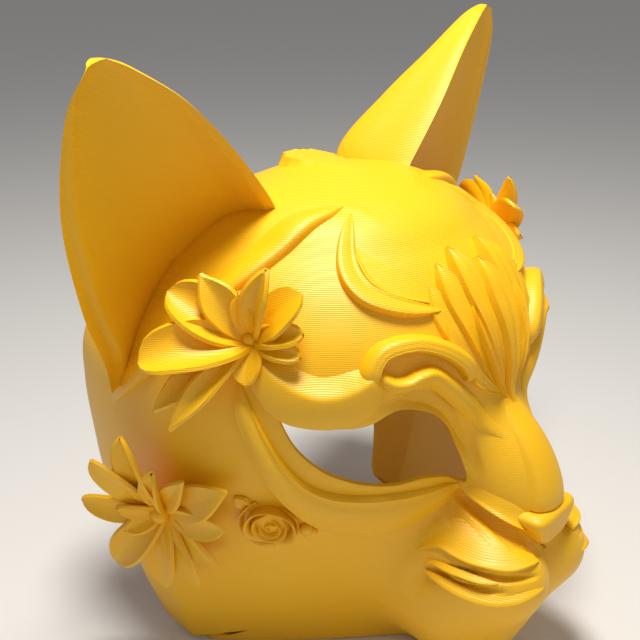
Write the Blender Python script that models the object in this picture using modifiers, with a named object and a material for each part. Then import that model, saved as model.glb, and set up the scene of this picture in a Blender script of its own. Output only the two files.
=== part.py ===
"""Cat mask for a whole face, a rigid print: shell, ears, nose and raised flowers.

Metres, +Z up. The mask stands on its bottom rim and looks along -Y, and its wearer's left is +X.
"""
import bmesh
import bpy
import numpy as np

# Shell
CROWN_HEIGHT = 0.252
HALF_WIDTH = 0.117
BROW_REACH = 0.125
MUZZLE_REACH = 0.166
BACK_REACH = 0.124
RIM_REACH = 0.066
WALL = 0.003
SEAT_GAP = 0.0003

# Ears
EAR_HEIGHT = 0.318
EAR_SPREAD = 0.156
EAR_DEPTH = 0.050
EAR_LIP = 0.0035

# Nose
NOSE_WIDTH = 0.041
NOSE_HEIGHT = 0.017
NOSE_DEPTH = 0.026
NOSE_ROUNDING = 0.004
# Its foremost and topmost places as shares of muzzle reach and crown height
NOSE_PLACE = (0.985, 0.405)

# Raised work
LILY_REACH = 0.052
CHEEK_FLOWER_REACH = 0.050
ROSE_REACH = 0.018
PETAL_THICKNESS = 0.0018
BROW_RISE = 0.006
LID_RISE = 0.005
CRESCENT_RISE = 0.004
CREST_RISE = 0.005
RELIEF_SINK = 0.002

# The widest line is set back so that the muzzle and the back rim lie equally far from y = 0
WIDEST_Y = (MUZZLE_REACH - RIM_REACH) / 2
CENTRE = np.array([0.0, WIDEST_Y - 0.12 * BROW_REACH, 0.476 * CROWN_HEIGHT])

# Level sections: height, forward reach and half width as shares, and how square the front is
LEVELS = np.array([
    (-0.24, 0.73, 0.74, 1.15),
    (0.00, 0.78, 0.81, 1.15),
    (0.14, 0.856, 0.905, 1.25),
    (0.28, 0.904, 0.957, 1.5),
    (0.42, 0.952, 0.983, 1.75),
    (0.56, 1.0, 1.0, 2.0),
    (0.675, 1.0, 0.985, 2.1),
    (0.79, 0.936, 0.88, 2.1),
    (0.89, 0.776, 0.70, 2.0),
    (0.96, 0.552, 0.46, 2.0),
    (1.00, 0.232, 0.10, 2.0),
])

# Behind the widest line: how square the back is, and how the crown falls away from where it starts
BACK_POWER = 2.2
CROWN_FALL = 0.6
CROWN_FALL_START = -0.35
# Cutters run this far past the form, as a share of its sizes
PAST_FORM = 1.5

# Swellings: place and half sizes as shares of half width, muzzle reach and crown height,
# then tilt in degrees and blend as a share of half width
SWELLINGS = {
    "muzzle": (0.0, 0.633, 0.206, 0.376, 0.301, 0.175, 0, 0.19),
    "whisker_pads": (0.155, 0.801, 0.275, 0.214, 0.202, 0.108, 0, 0.11),
    "chin": (0.0, 0.681, 0.087, 0.24, 0.163, 0.095, 0, 0.12),
    "bridge": (0.0, 0.777, 0.484, 0.18, 0.133, 0.159, -32, 0.10),
}

# Back rim seen from the side: height and distance behind the widest line as shares
RIM = ((-0.3, 0.2), (0.0, 0.2), (0.036, 0.37), (0.155, 0.446), (0.278, 0.66), (0.397, 0.90),
       (0.55, 1.0), (0.72, 1.0), (0.87, 0.84), (1.0, 0.52), (1.2, 0.3))

# How far the middle of the muzzle lies below the centre of the form, in degrees
MUZZLE_DIP = 16

# Right eye hole: bearing from the nose and elevation in degrees, seen from the shell's centre
EYE_HOLE = ((-61, 21), (-54, 19), (-46, 18.5), (-40, 19), (-34, 21.5), (-28, 21), (-22, 18), (-16.5, 11),
            (-11.5, -3), (-17, -0.5), (-24, 1), (-31, 0.5), (-38, 1.5), (-45, 4), (-51, 7.5), (-57, 13.5))

# Places across a band: rounded with five columns, or keeled with three
ROUNDED = (-1.0, -0.6, 0.0, 0.6, 1.0)
KEELED = (-1.0, 0.0, 1.0)

# Raised bands on the right: bearing, elevation, half width and rise as shares of their own sizes
BROW_WIDTH = 0.007
BROW = ((-69, 31, 0.5, 0.3), (-64, 29.5, 0.9, 0.8), (-57, 26.5, 1.1, 1.0), (-48, 24.5, 1.2, 1.0),
        (-41, 25.5, 1.2, 1.0), (-36, 28.5, 1.1, 1.0), (-33, 32.5, 0.9, 0.8), (-27, 34.5, 0.8, 0.7),
        (-20.5, 33.5, 0.8, 0.7), (-17, 30.5, 0.6, 0.6), (-16.5, 27.5, 0.35, 0.4))
BROW_FOLD = ((-35, 28.5, 0.5, 0.6), (-31, 27, 0.7, 0.9), (-26, 27, 0.7, 1.0), (-21, 26, 0.7, 0.9),
             (-16, 21.5, 0.6, 0.7), (-11, 16, 0.4, 0.4))
LID_WIDTH = 0.010
LID = ((-71.5, 22, 0.3, 0.4), (-67.5, 14, 0.5, 0.8), (-62, 4.5, 0.75, 1.0), (-54, -5, 1.1, 1.0),
       (-45, -9, 1.35, 1.0), (-36, -10.5, 1.45, 1.0), (-27, -9.5, 1.15, 0.9), (-19, -7.5, 0.75, 0.7),
       (-13, -5.5, 0.3, 0.4))
CRESCENT_WIDTH = 0.0065
CRESCENT = ((-37.5, 64, 0.2, 0.4), (-42.5, 57.5, 0.6, 0.8), (-43, 52, 1.0, 1.0), (-40.5, 47.5, 1.0, 1.0),
            (-36, 44.5, 0.8, 1.0), (-30, 42.2, 0.6, 0.9), (-24, 41, 0.4, 0.7), (-19.5, 40, 0.2, 0.4))

# Forehead leaves: bearing and elevation of each tip, and half width as a share
CREST_ROOT = 15
CREST_ROOT_SPREAD = 0.3
CREST_LEAF_WIDTH = 0.0065
CREST_LEAVES = ((0, 52, 1.0), (-7.5, 49.5, 0.9), (7.5, 49.5, 0.9), (-13.5, 43, 0.85), (13.5, 43, 0.85))
# The low fan that the leaves lie on: bearing, elevation, half width and rise as shares of a leaf's
CREST_FAN = ((0, 13, 0.6, 0.35), (0, 21, 1.8, 0.45), (0, 29, 2.8, 0.5), (0, 37, 3.2, 0.5),
             (0, 44, 2.3, 0.35))

# Ear edges from base to tip: side, distance behind the widest line and height as shares of
# ear spread, ear depth and ear height
EAR_INNER_EDGE = ((0.30, -0.44, 0.70), (0.333, -0.56, 0.752), (0.494, -0.60, 0.849),
                  (0.654, -0.54, 0.931), (0.80, -0.44, 0.98), (0.875, -0.38, 0.998))
EAR_OUTER_EDGE = ((0.80, 0.30, 0.50), (0.853, 0.10, 0.56), (0.936, 0.0, 0.66),
                  (0.994, -0.10, 0.80), (0.985, -0.26, 0.93), (0.925, -0.35, 0.99))
EAR_BACK_RIDGE = ((0.36, 0.40, 0.66), (0.40, 0.46, 0.74), (0.545, 0.22, 0.822),
                  (0.69, -0.04, 0.9), (0.83, -0.22, 0.97), (0.90, -0.32, 0.995))
# Across an ear: columns of the dish and of the back, where the dish starts and ends, how deep it
# is as a share of the way to the ridge, and where the ridge stands
EAR_DISH_COLUMNS = (0, 0.06, 0.28, 0.5, 0.72, 0.92, 1)
EAR_BACK_COLUMNS = (0, 0.12, 0.3, 0.4, 0.55, 0.8, 1)
EAR_DISH = (0.06, 0.92)
EAR_DISH_DEPTH = 0.45
EAR_RIDGE_AT = 0.34

# Petals: turn from forward towards the crown, length and width as shares of the flower's reach,
# slope at root and tip in degrees, and cup as a share of the half width
LILY_PLACE = (-69.8, 36.7)
LILY_PETALS = ((159, 0.86, 0.46, 42, 4, 0.55), (135, 0.74, 0.34, 52, 12, 0.5),
               (-156, 1.0, 0.56, 46, 6, 0.6), (68, 0.74, 0.34, 46, 12, 0.6),
               (38, 0.70, 0.36, 36, 2, 0.4), (4, 0.54, 0.32, 32, -2, 0.5),
               (-84, 0.40, 0.28, 30, 0, 0.5), (-116, 1.0, 0.24, 34, -4, 0.5))
CHEEK_FLOWER_PLACE = (-94.5, -12.5)
CHEEK_FLOWER_PETALS = ((10, 0.76, 0.36, 26, -2, 0.4), (36, 1.06, 0.38, 22, -4, 0.4),
                       (64, 0.84, 0.34, 40, 8, 0.5), (92, 1.08, 0.40, 36, 4, 0.5),
                       (116, 1.0, 0.36, 42, 18, 0.4), (168, 0.80, 0.38, 42, 18, 0.5),
                       (-126, 0.90, 0.42, 30, 2, 0.5), (-86, 0.88, 0.40, 24, -2, 0.4),
                       (-46, 0.74, 0.38, 22, -4, 0.4))
ROSE_PLACE = (-64.5, -11.5)
ROSE_PETALS = ((17, 1.0, 1.4, 62, 34, 0.3), (88, 0.96, 1.4, 60, 36, 0.3), (163, 1.02, 1.4, 63, 33, 0.3),
               (239, 0.98, 1.4, 61, 35, 0.3), (305, 1.01, 1.4, 64, 34, 0.3))
PETAL_OUTLINE = (0.35, 0.95, 0.9, 0.2)
# How thick a petal is in all, as a share of the thickness above its spine
PETAL_ROOT_SHARE = 1.6
BOSS_SHARE = {"temple_lily": 0.13, "cheek_flower": 0.15, "cheek_rose": 0.42}

# Colours and gloss of the yellow plastic
YELLOW = (0.86, 0.60, 0.02, 1.0)
ROUGHNESS = 0.42


def clear_scene():
    for item in list(bpy.data.objects):
        bpy.data.objects.remove(item)


def new_collection(name):
    collection = bpy.data.collections.new(name)
    bpy.context.scene.collection.children.link(collection)
    return collection


def plastic(name):
    material = bpy.data.materials.new(name)
    material.use_nodes = True
    shader = material.node_tree.nodes["Principled BSDF"]
    shader.inputs["Base Color"].default_value = YELLOW
    shader.inputs["Roughness"].default_value = ROUGHNESS
    shader.inputs["Metallic"].default_value = 0.0
    return material


def smooth_curve(where, knots, values):
    """Cubic through the values, with slopes taken from the neighbours."""
    knots = np.asarray(knots, dtype=float)
    values = np.asarray(values, dtype=float)
    slopes = np.gradient(values, knots, axis=0)
    k = np.clip(np.searchsorted(knots, where) - 1, 0, len(knots) - 2)
    span = knots[k + 1] - knots[k]
    t = np.clip((where - knots[k]) / span, 0.0, 1.0)
    if values.ndim > 1:
        t, span = t[:, None], span[:, None]
    return (values[k] * (1 + 2 * t) * (1 - t) ** 2 + values[k + 1] * t * t * (3 - 2 * t)
            + slopes[k] * span * t * (1 - t) ** 2 - slopes[k + 1] * span * t * t * (1 - t))


def along(points, count):
    """Even steps along a smooth curve through the points."""
    return smooth_curve(np.linspace(0, len(points) - 1, count), np.arange(len(points)), points)


def blend(a, b, width):
    share = np.clip(0.5 + 0.5 * (b - a) / width, 0.0, 1.0)
    return b * (1 - share) + a * share - width * share * (1 - share)


def swelling(p, name):
    side, forward, height, half_width, half_depth, half_height, tilt, soft = SWELLINGS[name]
    x = np.abs(p[:, 0]) - side * HALF_WIDTH if side else p[:, 0]
    y = p[:, 1] - WIDEST_Y + forward * MUZZLE_REACH
    z = p[:, 2] - height * CROWN_HEIGHT
    turn = np.radians(tilt)
    y, z = y * np.cos(turn) + z * np.sin(turn), z * np.cos(turn) - y * np.sin(turn)
    radii = np.array([half_width * HALF_WIDTH, half_depth * MUZZLE_REACH, half_height * CROWN_HEIGHT])
    scaled = np.stack([x, y, z], axis=-1) / radii
    reach = np.linalg.norm(scaled, axis=1)
    return reach * (reach - 1) / (np.linalg.norm(scaled / radii, axis=1) + 1e-9), soft * HALF_WIDTH


def head_field(p):
    """Roughly the distance to a smooth head without a muzzle, below zero inside."""
    depth = p[:, 1] - WIDEST_Y
    behind = np.maximum(depth - CROWN_FALL_START * HALF_WIDTH, 0)
    fall = CROWN_FALL * behind ** 2 / CROWN_HEIGHT
    high = np.clip(p[:, 2] / (0.4 * CROWN_HEIGHT) - 1.5, 0, 1)
    height = np.clip((p[:, 2] + fall * high) / CROWN_HEIGHT, LEVELS[0, 0], LEVELS[-1, 0])
    front, width, power = smooth_curve(height, LEVELS[:, 0], LEVELS[:, 1:]).T
    width = width * HALF_WIDTH
    ahead = depth < 0
    reach = np.where(ahead, front * BROW_REACH, width * BACK_REACH / HALF_WIDTH)
    power = np.where(ahead, power, BACK_POWER)
    size = (np.abs(p[:, 0] / width) ** power + np.abs(depth / reach) ** power) ** (1 / power)
    outside = np.maximum((size - 1) * width * 0.8, p[:, 2] - CROWN_HEIGHT)
    return np.maximum(outside, LEVELS[0, 0] * CROWN_HEIGHT - p[:, 2])


def form_field(p):
    """Roughly the distance to the outer surface of the mask, below zero inside."""
    field = head_field(p)
    for name in SWELLINGS:
        lump, soft = swelling(p, name)
        field = blend(field, lump, soft)
    return field


def form_points(directions):
    """Where rays from the centre leave the form."""
    low = np.zeros(len(directions))
    high = np.full(len(directions), 2 * CROWN_HEIGHT)
    for _ in range(26):
        middle = (low + high) / 2
        inside = form_field(CENTRE + directions * middle[:, None]) < 0
        low = np.where(inside, middle, low)
        high = np.where(inside, high, middle)
    return CENTRE + directions * low[:, None]


def form_normals(points):
    step = 0.004 * HALF_WIDTH
    slopes = [form_field(points + step * axis) - form_field(points - step * axis) for axis in np.eye(3)]
    normals = np.stack(slopes, axis=-1)
    return normals / np.linalg.norm(normals, axis=1, keepdims=True)


def bearings(rows):
    """Directions from the centre, for rows of bearing and elevation in degrees."""
    bearing, elevation = np.radians(np.asarray(rows, dtype=float)[:, :2]).T
    level = np.cos(elevation)
    return np.stack([np.sin(bearing) * level, -np.cos(bearing) * level, np.sin(elevation)], axis=-1)


def project(points):
    """Move points along their rays onto the form."""
    rays = points - CENTRE
    return form_points(rays / np.linalg.norm(rays, axis=1, keepdims=True))


def slab(bm, top, bottom):
    """Close the space between two grids of points with the same rows and columns."""
    rows, columns = top.shape[:2]
    upper = [[bm.verts.new(point) for point in row] for row in top]
    lower = [[bm.verts.new(point) for point in row] for row in bottom]
    for i in range(rows - 1):
        for j in range(columns - 1):
            bm.faces.new((upper[i][j], upper[i][j + 1], upper[i + 1][j + 1], upper[i + 1][j]))
            bm.faces.new((lower[i][j], lower[i + 1][j], lower[i + 1][j + 1], lower[i][j + 1]))
    edge = [(i, 0) for i in range(rows)] + [(rows - 1, j) for j in range(1, columns)]
    edge += [(i, columns - 1) for i in range(rows - 2, -1, -1)] + [(0, j) for j in range(columns - 2, 0, -1)]
    for (i, j), (m, n) in zip(edge, edge[1:] + edge[:1]):
        bm.faces.new((upper[i][j], upper[m][n], lower[m][n], lower[i][j]))


def band(bm, rows, half_width, rise, steps=12, across=ROUNDED):
    """A raised strip whose rows give bearing, elevation, width share and rise share."""
    rows = along(rows, steps)
    centre = form_points(bearings(rows))
    normal = form_normals(centre)
    side = np.cross(normal, np.gradient(centre, axis=0))
    side /= np.linalg.norm(side, axis=1, keepdims=True)
    top = np.empty((steps, len(across), 3))
    bottom = np.empty_like(top)
    for j, share in enumerate(across):
        foot = project(centre + side * (share * half_width * rows[:, 2])[:, None])
        height = (rise * rows[:, 3] + RELIEF_SINK) * (1 - abs(share) ** 2.5) - RELIEF_SINK
        top[:, j] = foot + normal * height[:, None]
        bottom[:, j] = foot - normal * (2 * RELIEF_SINK)
    slab(bm, top, bottom)


def petal(bm, place, row, reach, thickness):
    """A cupped leaf that springs from the surface at a bearing and elevation."""
    turn, length, width, root_slope, tip_slope, cup = row
    centre = form_points(bearings([place]))
    normal = form_normals(centre)[0]
    crown = np.array([0, 0, 1.0]) - normal * normal[2]
    crown /= np.linalg.norm(crown)
    forward = np.cross(normal, crown)
    forward *= np.sign(-forward[1])
    angle = np.radians(turn)
    out = forward * np.cos(angle) + crown * np.sin(angle)
    sideways = np.cross(normal, out)
    along_share = np.linspace(0, 1, len(PETAL_OUTLINE))
    slope = np.radians(root_slope + (tip_slope - root_slope) * along_share)
    step = length * reach / (len(along_share) - 1)
    run = np.concatenate([[0], np.cumsum(np.cos(slope[1:]) * step)])
    lift = np.concatenate([[0], np.cumsum(np.sin(slope[1:]) * step)])
    half = width * reach / 2 * np.array(PETAL_OUTLINE)
    top = np.empty((len(run), 3, 3))
    bottom = np.empty_like(top)
    for i in range(len(run)):
        facing = normal * np.cos(slope[i]) - out * np.sin(slope[i])
        spine = centre[0] + out * run[i] + normal * lift[i]
        for j, share in enumerate((-1, 0, 1)):
            top[i, j] = spine + sideways * (share * half[i]) + facing * (cup * half[i] * share ** 2 + thickness)
        bottom[i] = top[i] - facing * thickness * PETAL_ROOT_SHARE
    slab(bm, top, bottom)


def boss(bm, place, radius):
    """The round heart of a flower."""
    centre = form_points(bearings([place]))[0]
    made = bmesh.ops.create_uvsphere(bm, u_segments=10, v_segments=6, radius=radius)
    bmesh.ops.translate(bm, verts=made["verts"], vec=centre)


def finish_mesh(bm, name):
    bmesh.ops.recalc_face_normals(bm, faces=bm.faces)
    mesh = bpy.data.meshes.new(name)
    bm.to_mesh(mesh)
    bm.free()
    mesh.shade_smooth()
    mesh.set_sharp_from_angle(angle=np.radians(40))
    return mesh


def add_object(name, mesh, collection):
    item = bpy.data.objects.new(name, mesh)
    collection.objects.link(item)
    mesh.materials.append(plastic(name + "_plastic"))
    return item


def add_cutter(name, mesh, collection):
    item = bpy.data.objects.new(name, mesh)
    collection.objects.link(item)
    item.hide_render = True
    item.display_type = "WIRE"
    return item


def cut(item, cutter, own_overlaps=False):
    modifier = item.modifiers.new("cut_" + cutter.name, "BOOLEAN")
    modifier.operation = "DIFFERENCE"
    modifier.solver = "EXACT"
    modifier.use_self = own_overlaps
    modifier.object = cutter


def mirrored(mesh, name):
    """A copy of the mesh on the other side of the middle plane."""
    bm = bmesh.new()
    bm.from_mesh(mesh)
    bmesh.ops.scale(bm, verts=bm.verts, vec=(-1, 1, 1))
    return finish_mesh(bm, name)


def form_mesh(name, growth):
    """The whole closed form, its pole at the muzzle, moved out by the growth."""
    bm = bmesh.new()
    bmesh.ops.create_uvsphere(bm, u_segments=48, v_segments=24, radius=1)
    units = np.array([vert.co for vert in bm.verts])
    # Rings crowd towards the muzzle, where the form bends most
    polar = np.arccos(np.clip(units[:, 2], -1, 1)) / np.pi
    polar = np.pi * (0.5 * polar + 0.5 * polar ** 2)
    around = np.arctan2(units[:, 1], units[:, 0])
    ahead, up = np.cos(polar), np.sin(polar) * np.sin(around)
    dip = np.radians(MUZZLE_DIP)
    directions = np.stack([np.sin(polar) * np.cos(around), -ahead * np.cos(dip) - up * np.sin(dip),
                           up * np.cos(dip) - ahead * np.sin(dip)], axis=-1)
    for vert, point in zip(bm.verts, form_points(directions)):
        vert.co = point
    # The same diagonals in the shell and in its grown copy keep the gap between them even
    bmesh.ops.triangulate(bm, faces=bm.faces, quad_method="SHORT_EDGE")
    bmesh.ops.recalc_face_normals(bm, faces=bm.faces)
    bm.normal_update()
    for vert in bm.verts:
        vert.co += vert.normal * growth
    return finish_mesh(bm, name)


def rim_cutter_mesh():
    """Everything behind the back rim, as a prism across the mask."""
    bm = bmesh.new()
    outline = [(WIDEST_Y + back * RIM_REACH, height * CROWN_HEIGHT) for height, back in RIM]
    far = WIDEST_Y + PAST_FORM * BACK_REACH
    outline += [(far, outline[-1][1]), (far, outline[0][1])]
    half = PAST_FORM * HALF_WIDTH
    verts = [bm.verts.new((-half, y, z)) for y, z in outline]
    face = bm.faces.new(verts)
    moved = bmesh.ops.extrude_face_region(bm, geom=[face])["geom"]
    bmesh.ops.translate(bm, verts=[part for part in moved if isinstance(part, bmesh.types.BMVert)],
                        vec=(2 * half, 0, 0))
    return finish_mesh(bm, "behind_rim")


def floor_cutter_mesh():
    bm = bmesh.new()
    bmesh.ops.create_cube(bm, size=1)
    bmesh.ops.scale(bm, verts=bm.verts, vec=(2 * PAST_FORM * HALF_WIDTH, 2 * PAST_FORM * MUZZLE_REACH, CROWN_HEIGHT))
    bmesh.ops.translate(bm, verts=bm.verts, vec=(0, 0, -CROWN_HEIGHT / 2))
    return finish_mesh(bm, "below_rim")


def eye_cutter_mesh():
    """A tapering plug through the wall, its sides along rays from the centre."""
    bm = bmesh.new()
    closed = EYE_HOLE + EYE_HOLE[:1]
    directions = bearings(along(closed, 2 * len(EYE_HOLE) + 1)[:-1])
    outer = (CENTRE + directions * PAST_FORM * HALF_WIDTH)[:, None]
    inner = (CENTRE + directions * 0.5 * HALF_WIDTH)[:, None]
    near = [bm.verts.new(point[0]) for point in inner]
    far = [bm.verts.new(point[0]) for point in outer]
    bm.faces.new(near)
    bm.faces.new(far)
    for a, b, c, d in zip(near, near[1:] + near[:1], far[1:] + far[:1], far):
        bm.faces.new((a, b, c, d))
    return finish_mesh(bm, "eye_plug_right")


def ear_mesh():
    """Right ear: a dish between two edges in front and a ridge behind."""
    sizes = np.array([EAR_SPREAD, EAR_DEPTH, EAR_HEIGHT])
    steps = 13
    start, end = EAR_DISH
    inner, outer, ridge = (along(np.array(edge) * sizes, steps)
                           for edge in (EAR_INNER_EDGE, EAR_OUTER_EDGE, EAR_BACK_RIDGE))
    front = np.empty((steps, len(EAR_DISH_COLUMNS), 3))
    back = np.empty_like(front)
    for i in range(steps):
        width = outer[i] - inner[i]
        middle = (inner[i] + outer[i]) / 2
        bulge = ridge[i] - middle
        for j, share in enumerate(EAR_DISH_COLUMNS):
            dip = max(1 - abs(2 * (share - start) / (end - start) - 1) ** 2.4, 0)
            front[i, j] = inner[i] + width * share + bulge * EAR_DISH_DEPTH * dip
        for j, share in enumerate(EAR_BACK_COLUMNS):
            rise = min(share / EAR_RIDGE_AT, (1 - share) / (1 - EAR_RIDGE_AT), 0.96)
            edge = EAR_LIP * bulge / (np.linalg.norm(bulge) + 1e-6)
            back[i, j] = inner[i] + width * share + bulge * rise + edge
    for grid in (front, back):
        grid[..., 0] *= -1
        grid[..., 1] += WIDEST_Y
    bm = bmesh.new()
    slab(bm, front, back)
    return finish_mesh(bm, "ear_right")


def nose_mesh():
    """A rounded wedge, wide above and narrow below."""
    bm = bmesh.new()
    bmesh.ops.create_cube(bm, size=1)
    for vert in bm.verts:
        low = vert.co.z < 0
        vert.co.x *= NOSE_WIDTH * (0.4 if low else 1.0)
        vert.co.y = vert.co.y * NOSE_DEPTH + (NOSE_DEPTH * 0.06 if low else 0.0)
        vert.co.z *= NOSE_HEIGHT
    bmesh.ops.bevel(bm, geom=bm.edges, offset=NOSE_ROUNDING, segments=3, profile=0.5, affect="EDGES")
    front = WIDEST_Y - NOSE_PLACE[0] * MUZZLE_REACH
    top = NOSE_PLACE[1] * CROWN_HEIGHT
    bmesh.ops.translate(bm, verts=bm.verts, vec=(0, front + NOSE_DEPTH / 2, top - NOSE_HEIGHT / 2))
    return finish_mesh(bm, "nose_pad")


def flower_mesh(name, place, petals, reach):
    bm = bmesh.new()
    for row in petals:
        petal(bm, place, row, reach, PETAL_THICKNESS)
    boss(bm, place, BOSS_SHARE[name] * reach)
    return finish_mesh(bm, name + "_right")


def brow_mesh():
    bm = bmesh.new()
    band(bm, BROW, BROW_WIDTH, BROW_RISE, steps=17)
    band(bm, BROW_FOLD, BROW_WIDTH, BROW_RISE)
    return finish_mesh(bm, "brow_scroll_right")


def lid_mesh():
    bm = bmesh.new()
    band(bm, LID, LID_WIDTH, LID_RISE)
    return finish_mesh(bm, "lid_leaf_right")


def crescent_mesh():
    bm = bmesh.new()
    band(bm, CRESCENT, CRESCENT_WIDTH, CRESCENT_RISE)
    return finish_mesh(bm, "forehead_crescent_right")


def crest_mesh():
    """Leaves that fan up from one root on the nose bridge."""
    bm = bmesh.new()
    band(bm, CREST_FAN, CREST_LEAF_WIDTH, CREST_RISE, steps=7)
    shape = ((0.0, 0.35, 0.7), (0.3, 0.6, 0.9), (0.6, 1.0, 1.0), (0.85, 0.6, 0.8), (1.0, 0.15, 0.3))
    for bearing, elevation, share in CREST_LEAVES:
        tip = np.array([bearing, elevation], dtype=float)
        root = np.array([CREST_ROOT_SPREAD * bearing, CREST_ROOT + CREST_ROOT_SPREAD * abs(bearing)])
        rows = [(*(root + (tip - root) * step), width * share, rise) for step, width, rise in shape]
        band(bm, rows, CREST_LEAF_WIDTH, CREST_RISE * (0.7 + 0.3 * share), steps=6, across=KEELED)
    return finish_mesh(bm, "forehead_crest")


def build():
    clear_scene()
    parts = new_collection("cat_mask")
    tools = new_collection("cutters")

    behind = add_cutter("behind_rim", rim_cutter_mesh(), tools)
    below = add_cutter("below_rim", floor_cutter_mesh(), tools)
    plug = eye_cutter_mesh()
    plugs = [add_cutter("eye_plug_right", plug, tools),
             add_cutter("eye_plug_left", mirrored(plug, "eye_plug_left"), tools)]
    ground = add_cutter("ground", form_mesh("ground", SEAT_GAP), tools)

    shell = add_object("mask_shell", form_mesh("mask_shell", 0.0), parts)
    wall = shell.modifiers.new("wall", "SOLIDIFY")
    wall.thickness = WALL
    wall.offset = -1
    for cutter in (behind, below, *plugs):
        cut(shell, cutter)

    for name, mesh in (("nose_pad", nose_mesh()), ("forehead_crest", crest_mesh())):
        cut(add_object(name, mesh, parts), ground, own_overlaps=True)

    flowers = (("temple_lily", LILY_PLACE, LILY_PETALS, LILY_REACH),
               ("cheek_flower", CHEEK_FLOWER_PLACE, CHEEK_FLOWER_PETALS, CHEEK_FLOWER_REACH),
               ("cheek_rose", ROSE_PLACE, ROSE_PETALS, ROSE_REACH))
    pairs = {"ear": ear_mesh(), "brow_scroll": brow_mesh(), "lid_leaf": lid_mesh(),
             "forehead_crescent": crescent_mesh()}
    pairs.update((name, flower_mesh(name, place, petals, reach)) for name, place, petals, reach in flowers)
    for name, mesh in pairs.items():
        opposite = mirrored(mesh, name + "_left")
        cut(add_object(name + "_right", mesh, parts), ground, own_overlaps=True)
        cut(add_object(name + "_left", opposite, parts), ground, own_overlaps=True)


build()
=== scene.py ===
"""Looks of the cat mask: a printed shell with ears, nose and raised flowers, in satin yellow plastic."""
import bmesh
import bpy
import numpy as np
from math import radians
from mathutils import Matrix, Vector


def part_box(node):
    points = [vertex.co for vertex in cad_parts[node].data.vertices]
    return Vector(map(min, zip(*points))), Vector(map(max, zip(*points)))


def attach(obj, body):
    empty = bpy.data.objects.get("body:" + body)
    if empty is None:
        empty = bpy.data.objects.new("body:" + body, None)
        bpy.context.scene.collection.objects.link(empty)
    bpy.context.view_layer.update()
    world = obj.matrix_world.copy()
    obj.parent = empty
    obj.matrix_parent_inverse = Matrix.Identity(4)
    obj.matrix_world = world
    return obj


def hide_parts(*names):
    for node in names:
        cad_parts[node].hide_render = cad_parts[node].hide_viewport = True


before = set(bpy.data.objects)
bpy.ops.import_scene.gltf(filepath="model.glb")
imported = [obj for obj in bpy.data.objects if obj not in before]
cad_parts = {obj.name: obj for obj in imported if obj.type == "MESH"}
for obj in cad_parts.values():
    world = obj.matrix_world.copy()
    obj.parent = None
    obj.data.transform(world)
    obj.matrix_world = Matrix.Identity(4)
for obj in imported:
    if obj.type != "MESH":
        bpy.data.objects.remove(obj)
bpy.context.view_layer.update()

# Sizes from the frame, in metres
shell_low, shell_high = (np.array(corner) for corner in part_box("mask_shell"))
CROWN_HEIGHT = shell_high[2]
HALF_WIDTH = shell_high[0]
MUZZLE_REACH = 0.166
RIM_REACH = 2 * shell_high[1] - MUZZLE_REACH
WIDEST_Y = (MUZZLE_REACH - RIM_REACH) / 2
BROW_REACH = 0.125
BACK_REACH = 0.124
WALL = 0.003
CENTRE = np.array([0.0, WIDEST_Y - 0.12 * BROW_REACH, 0.476 * CROWN_HEIGHT])

# How square the back of a level section is, and how the crown falls behind the widest line
BACK_POWER = 2.2
CROWN_FALL = 0.6
CROWN_FALL_START = 0.35

# Camera: place, tilt and turn in degrees
VIEW_PLACE = (-0.3808, WIDEST_Y - 0.33864, 0.375)
VIEW_TILT = 67
VIEW_TURN = -49.2

# Level sections: height, forward reach and half width as shares, and how square the front is
LEVELS = np.array([
    (-0.24, 0.73, 0.74, 1.15),
    (0.00, 0.78, 0.81, 1.15),
    (0.14, 0.856, 0.905, 1.25),
    (0.28, 0.904, 0.957, 1.5),
    (0.42, 0.952, 0.983, 1.75),
    (0.56, 1.0, 1.0, 2.0),
    (0.675, 1.0, 0.985, 2.1),
    (0.79, 0.936, 0.88, 2.1),
    (0.89, 0.776, 0.70, 2.0),
    (0.96, 0.552, 0.46, 2.0),
    (1.00, 0.232, 0.10, 2.0),
])

# Swellings: place and half sizes as shares of half width, muzzle reach and crown height,
# then tilt in degrees and blend as a share of half width
SWELLINGS = {
    "muzzle": (0.0, 0.633, 0.206, 0.376, 0.301, 0.175, 0, 0.19),
    "whisker_pads": (0.155, 0.801, 0.275, 0.214, 0.202, 0.108, 0, 0.11),
    "chin": (0.0, 0.681, 0.087, 0.24, 0.163, 0.095, 0, 0.12),
    "bridge": (0.0, 0.777, 0.484, 0.18, 0.133, 0.159, -32, 0.10),
}
RIM = ((-0.3, 0.2), (0.0, 0.2), (0.036, 0.37), (0.155, 0.446), (0.278, 0.66), (0.397, 0.90),
       (0.55, 1.0), (0.72, 1.0), (0.87, 0.84), (1.0, 0.52), (1.2, 0.3))
MUZZLE_DIP = 16
EYE_HOLE = ((-61, 21), (-54, 19), (-46, 18.5), (-40, 19), (-34, 21.5), (-28, 21), (-22, 18), (-16.5, 11),
            (-11.5, -3), (-17, -0.5), (-24, 1), (-31, 0.5), (-38, 1.5), (-45, 4), (-51, 7.5), (-57, 13.5))

# Grid of the shell
SHELL_COLUMNS = 288
SHELL_ROWS = 160


def smooth_curve(where, knots, values):
    """Cubic through the values, with slopes taken from the neighbours."""
    knots = np.asarray(knots, dtype=float)
    values = np.asarray(values, dtype=float)
    slopes = np.gradient(values, knots, axis=0)
    k = np.clip(np.searchsorted(knots, where) - 1, 0, len(knots) - 2)
    span = knots[k + 1] - knots[k]
    t = np.clip((where - knots[k]) / span, 0.0, 1.0)
    if values.ndim > 1:
        t, span = t[:, None], span[:, None]
    return (values[k] * (1 + 2 * t) * (1 - t) ** 2 + values[k + 1] * t * t * (3 - 2 * t)
            + slopes[k] * span * t * (1 - t) ** 2 - slopes[k + 1] * span * t * t * (1 - t))


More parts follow.
